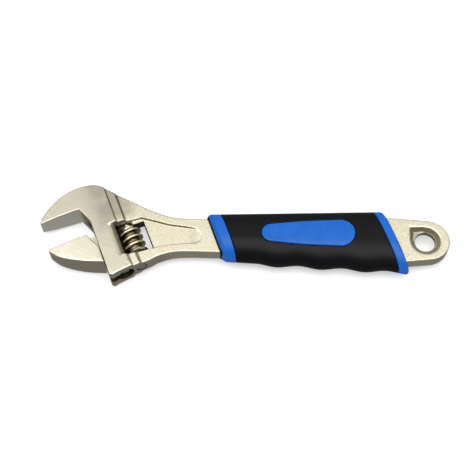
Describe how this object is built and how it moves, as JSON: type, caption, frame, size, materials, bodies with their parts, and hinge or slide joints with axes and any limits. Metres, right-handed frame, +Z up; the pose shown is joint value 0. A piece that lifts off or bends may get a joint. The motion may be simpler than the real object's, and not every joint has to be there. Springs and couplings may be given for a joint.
{
  "type": "adjustable wrench",
  "caption": "Adjustable wrench with angled head, worm-driven sliding jaw, two-colour moulded grip and a hanging hole in its tail.",
  "frame": {"origin": "middle of the wrench's box on the surface it lies on, under the grip", "axes": "+X from the jaws along the handle to the hanging hole, +Z up through the thickness, +Y towards the fixed jaw's crown"},
  "size_m": [0.2482, 0.0612, 0.0195],
  "materials": {
    "forging": "satin nickel, blasted grain on the shank and ground cheeks on the head",
    "jaw": "satin nickel with ground cheeks",
    "worm": "bright turned nickel",
    "pin": "plain turned steel",
    "spring": "drawn spring wire",
    "grip_hard": "satin moulded blue polypropylene",
    "grip_soft": "fine matt moulded black elastomer"
  },
  "bodies": {
    "handle": {"body": "forging", "worm_pin": "pin", "worm_spring": "spring", "grip_core": "grip_hard", "grip_overmould": "grip_soft"},
    "worm": {"worm": "worm"},
    "jaw": {"movable_jaw": "jaw"}
  },
  "joints": [
    {"name": "worm_spin", "type": "hinge", "parent": "handle", "child": "worm", "pos_m": [-0.06755, -0.00458, 0.00975], "axis": [-0.3827, 0.9239, 0], "range_deg": [-1394.6, 889]},
    {"name": "jaw_slide", "type": "slide", "parent": "handle", "child": "jaw", "axis": [0.3827, -0.9239, 0], "range_m": [-0.0182, 0.0116]}
  ],
  "couplings": [
    {"joint": "worm_spin", "follows": "jaw_slide", "rad_per_m": 1336.8}
  ]
}
